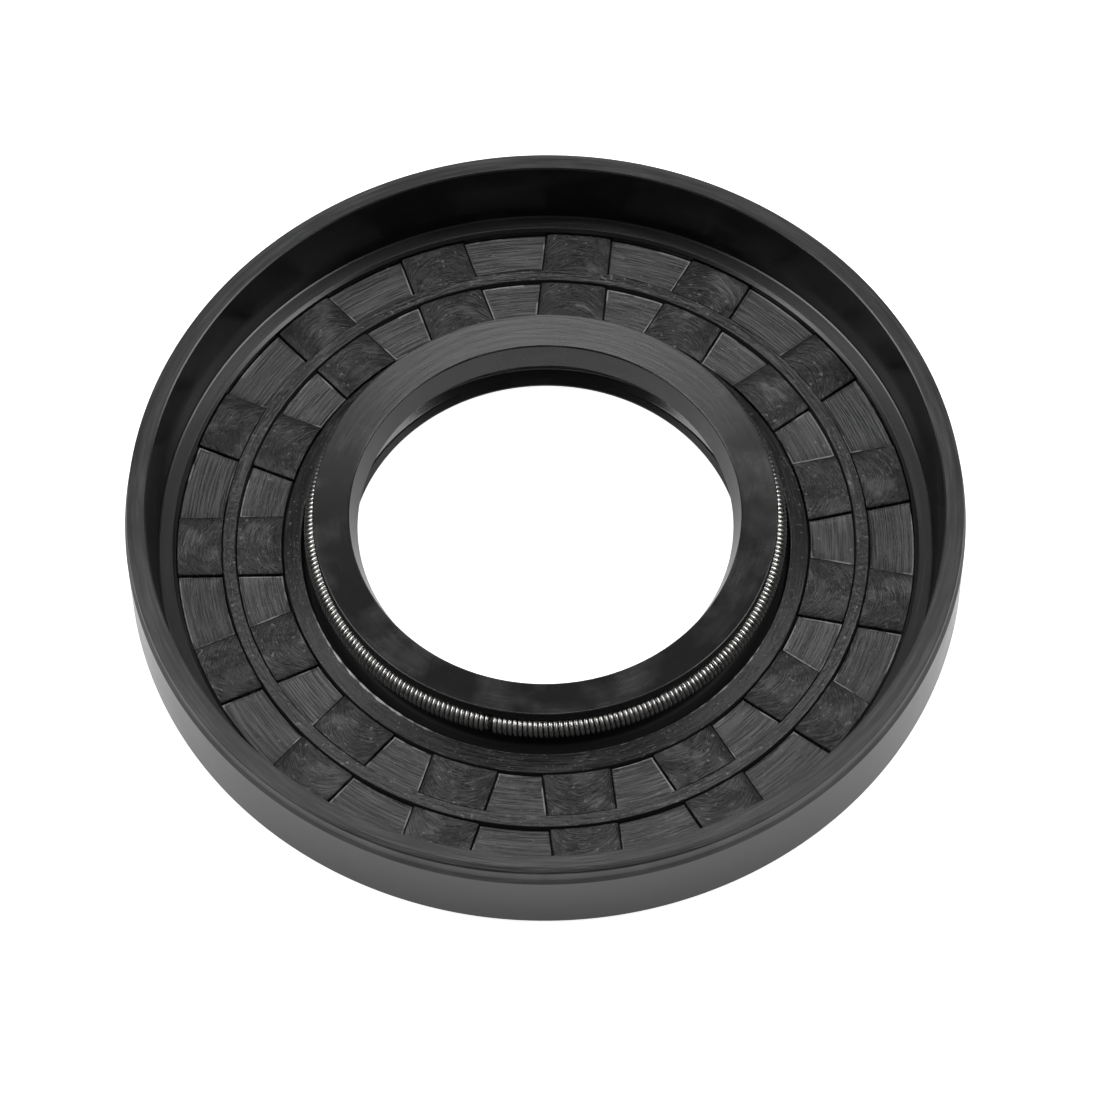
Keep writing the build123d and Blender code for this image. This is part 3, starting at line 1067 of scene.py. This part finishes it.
def add_lamp(name, azimuth, elevation, distance, width, height, glow):
    """A rectangular lamp that faces the seal: angles in degrees, sizes in metres.

    glow is its radiance, whatever its size.
    """
    data = bpy.data.lights.new(name, "AREA")
    data.shape, data.size, data.size_y = "RECTANGLE", width, height
    data.energy = glow * pi * width * height
    lamp = new_object(name, data)
    a, e = radians(azimuth), radians(elevation)
    lamp.location = Vector((cos(e) * cos(a), cos(e) * sin(a), sin(e))) * distance
    lamp.rotation_euler = (-lamp.location).to_track_quat("-Z", "Y").to_euler()
    lamp.visible_camera = False


def build_stage(settings, table_colour):
    build_table(table_colour)
    top = {"azimuth": 90, "elevation": 74, "distance": 0.988, "width": 0.90, "height": 0.30}
    side = {"elevation": 47, "distance": 1.2, "width": 0.8, "height": 0.36}
    back = {"azimuth": 90, "elevation": 24, "distance": 1.5, "width": 2.6, "height": 1.0}
    add_lamp("top_softbox", glow=settings.top_glow, **top)
    add_lamp("left_softbox", azimuth=180, glow=settings.left_glow, **side)
    add_lamp("right_softbox", azimuth=0, glow=settings.right_glow, **side)
    add_lamp("back_wall", glow=settings.back_glow, **back)
    world = bpy.data.worlds.new("Studio room")
    world.use_nodes = True
    world.node_tree.nodes.clear()
    glow = add_node(
        world.node_tree, "ShaderNodeBackground", {"Color": (1, 1, 1, 1), "Strength": settings.room}
    )
    add_node(world.node_tree, "ShaderNodeOutputWorld", {"Surface": glow})
    scene = bpy.context.scene
    scene.world = world
    scene.view_settings.view_transform = "Standard"

    tilt, roll = settings.elevation, settings.roll
    ahead = Vector((0, cos(tilt), -sin(tilt)))
    right = Vector((1, 0, 0))
    up = right.cross(ahead)
    level_right = right * cos(roll) + up * sin(roll)
    level_up = up * cos(roll) - right * sin(roll)
    aim = Vector((0.4039, -0.1253, 0.75)) * MM  # the point in the middle of the view
    data = bpy.data.cameras.new("camera")
    data.lens, data.sensor_width = settings.lens, 36.0
    data.clip_start, data.clip_end = 0.01, 20.0
    camera = new_object("camera", data)
    turn = Matrix((level_right, level_up, -ahead)).transposed()
    camera.matrix_world = Matrix.Translation(aim - ahead * settings.distance) @ turn.to_4x4()
    scene.camera = camera


# ------------------------------------------------------------------ operators
def rubber_colours(scene):
    # The second colour, for scuffs, is partly a painted highlight.
    return linear(scene.seal_finish.rubber), linear(scene.seal_finish.scuffs_and_highlights)


def rubber_piece(obj):
    """Hands a piece of the rubber body over to the frame."""
    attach(obj, "root")
    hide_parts("rubber_body")


class SEAL_OT_moulding(bpy.types.Operator):
    """Builds the turned rubber moulding: cover, rim, floor, stem and lips"""

    bl_idname = "seal.moulding"
    bl_label = "Rubber moulding"

    def execute(self, context):
        colours = rubber_colours(context.scene)
        makers = (
            sealing_rubber,
            rim_rubber,
            ledge_rubber,
            turned_rubber,
            collar_rubber,
            lip_rubber,
            matt_rubber,
        )
        rubber_piece(build_moulding(context.scene.seal_moulding, [make(colours) for make in makers]))
        # The flash is painted pale where it stands tall: a painted highlight.
        rubber_piece(build_flash(flash_rubber(colours, linear(context.scene.seal_finish.torn))))
        return {"FINISHED"}


class SEAL_OT_floor(bpy.types.Operator):
    """Builds the two rings of raised pads in the floor, and the flats between them"""

    bl_idname = "seal.floor"
    bl_label = "Pads and flats"

    def execute(self, context):
        settings, colours = context.scene.seal_moulding, rubber_colours(context.scene)
        rubber_piece(build_pads(settings, milled_rubber(colours, settings.pads)))
        rubber_piece(build_flats(settings, flat_rubber(colours)))
        return {"FINISHED"}


class SEAL_OT_spring(bpy.types.Operator):
    """Winds the garter spring round the sealing lip"""

    bl_idname = "seal.spring"
    bl_label = "Garter spring"

    def execute(self, context):
        spring = build_spring(context.scene.seal_spring, drawn_wire(linear(context.scene.seal_finish.wire)))
        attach(spring, "root")
        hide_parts("garter_spring")
        return {"FINISHED"}


class SEAL_OT_case(bpy.types.Operator):
    """Finishes the steel case that the rubber encloses"""

    bl_idname = "seal.case"
    bl_label = "Steel case"

    def execute(self, context):
        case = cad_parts["steel_case"]
        case.data.materials.clear()
        case.data.materials.append(phosphated_steel(linear(context.scene.seal_finish.case)))
        return {"FINISHED"}


class SEAL_OT_stage(bpy.types.Operator):
    """Sets up the table, the lamps and the camera"""

    bl_idname = "seal.stage"
    bl_label = "Stage"

    def execute(self, context):
        build_stage(context.scene.seal_stage, linear(context.scene.seal_finish.table))
        return {"FINISHED"}


OPERATORS = (SEAL_OT_moulding, SEAL_OT_floor, SEAL_OT_spring, SEAL_OT_case, SEAL_OT_stage)
GROUPS = {
    "seal_moulding": MouldingSettings,
    "seal_spring": SpringSettings,
    "seal_finish": FinishSettings,
    "seal_stage": StageSettings,
}


class SEAL_PT_parts(bpy.types.Panel):
    """Lists the seal's parts and their sizes"""

    bl_idname = "SEAL_PT_parts"
    bl_label = "Radial shaft seal"
    bl_space_type = "VIEW_3D"
    bl_region_type = "UI"
    bl_category = "Seal"

    def draw(self, context):
        for operator in OPERATORS:
            self.layout.operator(operator.bl_idname)
        for name, group in GROUPS.items():
            box = self.layout.box()
            box.label(text=group.__doc__)
            for prop in group.__annotations__:
                box.prop(getattr(context.scene, name), prop)


def register():
    for group in (*GROUPS.values(), *OPERATORS, SEAL_PT_parts):
        bpy.utils.register_class(group)
    for name, group in GROUPS.items():
        setattr(bpy.types.Scene, name, bpy.props.PointerProperty(type=group))


def unregister():
    for name in GROUPS:
        delattr(bpy.types.Scene, name)
    for group in (SEAL_PT_parts, *reversed(OPERATORS), *GROUPS.values()):
        bpy.utils.unregister_class(group)


def main():
    register()
    bpy.ops.seal.moulding()
    bpy.ops.seal.floor()
    bpy.ops.seal.spring()
    bpy.ops.seal.case()
    bpy.ops.seal.stage()


if __name__ == "__main__":
    main()
